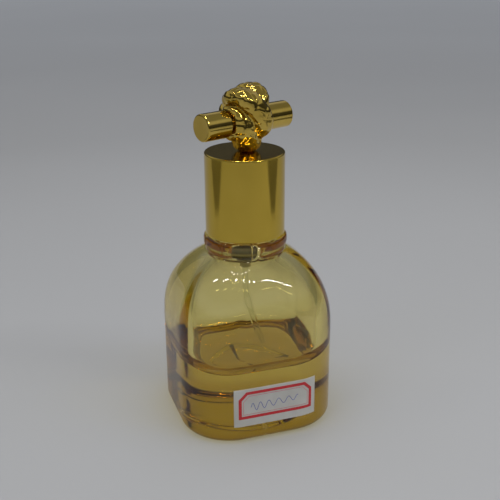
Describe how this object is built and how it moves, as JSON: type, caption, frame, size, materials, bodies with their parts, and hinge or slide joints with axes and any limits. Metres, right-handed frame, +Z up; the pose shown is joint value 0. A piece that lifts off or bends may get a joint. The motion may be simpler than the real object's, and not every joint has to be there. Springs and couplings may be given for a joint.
{
  "type": "perfume spray bottle",
  "caption": "Square domed spray bottle in thick gold-tinted glass, with a crimped finger pump under a round push-on gold cap that carries a knot tied round a short bar.",
  "frame": {"origin": "centre of the base, on the surface the bottle stands on", "axes": "+Z up, the labelled face looks along -Y, +X to the right of someone reading the label"},
  "size_m": [0.048, 0.0481, 0.1033],
  "materials": {
    "tinted_glass": "clear, fire polished, gold tint through the whole wall",
    "label_paper": "matt white with a printed red frame",
    "gasket_rubber": "matt",
    "ferrule_metal": "bright gold anodised",
    "natural_plastic": "translucent natural",
    "white_plastic": "white, smooth",
    "spring_steel": "bright stainless",
    "gold_metal": "polished gold anodised",
    "screw_steel": "zinc plated",
    "ornament_gold": "mirror polished gold plate",
    "rod_brass": "gold plate, darker in the gaps"
  },
  "bodies": {
    "bottle": {"glass_bottle": "tinted_glass", "paper_label": "label_paper", "neck_gasket": "gasket_rubber", "crimp_ferrule": "ferrule_metal", "pump_housing": "natural_plastic", "pump_turret": "white_plastic", "stem_gasket": "gasket_rubber", "dip_tube": "natural_plastic", "pump_spring": "spring_steel"},
    "ball": {"check_ball": "spring_steel"},
    "plunger": {"pump_stem": "white_plastic", "piston": "natural_plastic"},
    "button": {"button_core": "white_plastic", "button_shell": "gold_metal", "nozzle_insert": "white_plastic"},
    "collar": {"collar_ring": "gold_metal"},
    "cap": {"cap_shell": "gold_metal", "cap_liner": "white_plastic", "ornament_screw": "screw_steel", "screw_washer": "screw_steel", "ornament_knot": "ornament_gold", "ornament_rod": "rod_brass", "bar_end_left": "ornament_gold", "bar_end_right": "ornament_gold"}
  },
  "joints": [
    {"name": "ball_lift", "type": "slide", "parent": "bottle", "child": "ball", "axis": [0, 0, 1], "range_m": [0, 0.0006]},
    {"name": "pump_press", "type": "slide", "parent": "bottle", "child": "plunger", "axis": [0, 0, -1], "range_m": [0, 0.004], "stiffness_N_per_m": 1200, "deforming": ["pump_spring"]},
    {"name": "button_turn", "type": "hinge", "parent": "plunger", "child": "button", "pos_m": [0, 0, 0.075], "axis": [0, 0, 1], "continuous": true},
    {"name": "collar_turn", "type": "hinge", "parent": "bottle", "child": "collar", "pos_m": [0, 0, 0.0625], "axis": [0, 0, 1], "continuous": true},
    {"name": "cap_pull", "type": "slide", "parent": "collar", "child": "cap", "axis": [0, 0, 1], "range_m": [0, 0.035]}
  ]
}
